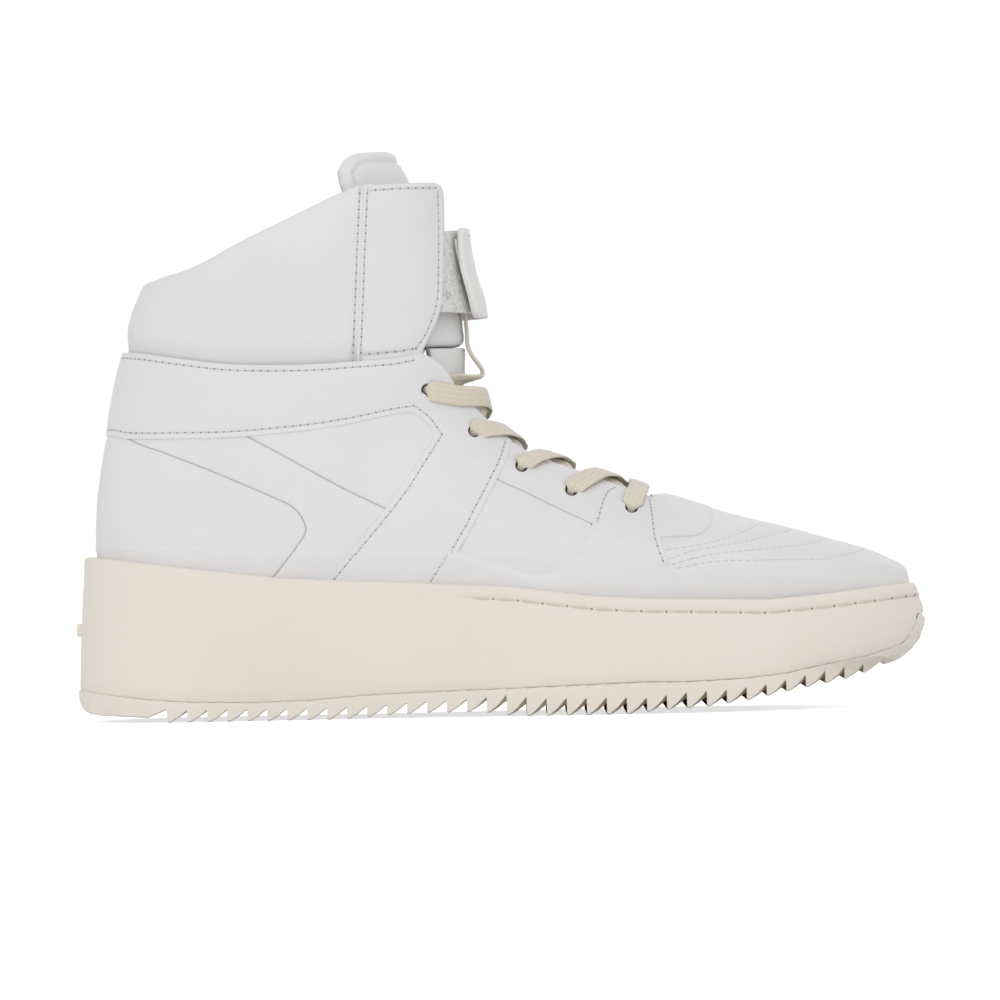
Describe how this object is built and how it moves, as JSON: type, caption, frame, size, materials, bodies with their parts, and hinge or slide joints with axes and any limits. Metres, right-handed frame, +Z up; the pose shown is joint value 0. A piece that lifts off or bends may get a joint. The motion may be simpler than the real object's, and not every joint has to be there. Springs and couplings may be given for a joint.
{
  "type": "basketball high top",
  "caption": "High-top lace-up shoe with padded collar, padded tongue, hook-and-loop ankle strap and a thick cupsole with a saw-tooth tread.",
  "frame": {"origin": "on the ground, under the middle of the bounding box of the right shoe", "axes": "+X to the toe, +Y to the medial side (inside of the foot), -Y to the lateral side, +Z up"},
  "size_m": [0.3061, 0.1118, 0.204],
  "materials": {
    "leather": "off-white full-grain leather, fine pebbled grain, semi-matt",
    "strap_leather": "off-white leather, semi-matt",
    "rubber": "cream moulded rubber, matt",
    "foam": "matt cut foam",
    "textile": "off-white knitted lining",
    "board": "matt fibre board",
    "stiffener": "matt thermoplastic sheet",
    "steel": "plain steel",
    "hook_and_loop": "off-white brushed loops and hooks",
    "cotton": "cream flat-woven cotton",
    "lace_tip": "cream smooth plastic"
  },
  "bodies": {
    "shoe": {"outsole": "rubber", "cupsole": "rubber", "midsole": "foam", "shank": "steel", "lasting_board": "board", "sockliner": "textile", "heel_panel": "leather", "ankle_band": "leather", "quarter_middle_lateral": "leather", "quarter_middle_medial": "leather", "quarter_upper_lateral": "leather", "quarter_upper_medial": "leather", "mid_quarter_lateral": "leather", "mid_quarter_medial": "leather", "front_eyestay_lateral": "leather", "front_eyestay_medial": "leather", "wing_lateral": "leather", "wing_medial": "leather", "vamp": "leather", "vamp_tab": "leather", "collar_rear": "leather", "collar_flap_lateral": "leather", "collar_flap_medial": "leather", "flap_lining_lateral": "textile", "flap_lining_medial": "textile", "collar_foam": "foam", "collar_lining": "textile", "heel_lining": "textile", "quarter_lining_lateral": "textile", "quarter_lining_medial": "textile", "vamp_lining": "textile", "heel_counter": "stiffener", "toe_puff": "stiffener", "eyelet_facing_lateral": "stiffener", "eyelet_facing_medial": "stiffener", "tongue_lower": "leather", "loop_tab": "hook_and_loop", "lace": "cotton", "aglet_lateral": "lace_tip", "aglet_medial": "lace_tip"},
    "strap": {"ankle_strap": "strap_leather", "hook_patch": "hook_and_loop"},
    "tongue_top": {"tongue_face": "leather", "tongue_foam": "foam", "tongue_lining": "textile"}
  },
  "joints": [
    {"name": "strap_open", "type": "hinge", "parent": "shoe", "child": "strap", "pos_m": [-0.044, 0.0346, 0.159], "axis": [0, 0, 1], "range_deg": [0, 100]},
    {"name": "tongue_flex", "type": "hinge", "parent": "shoe", "child": "tongue_top", "pos_m": [-0.016, 0, 0.13], "axis": [0, 1, 0], "range_deg": [-10, 0]}
  ]
}
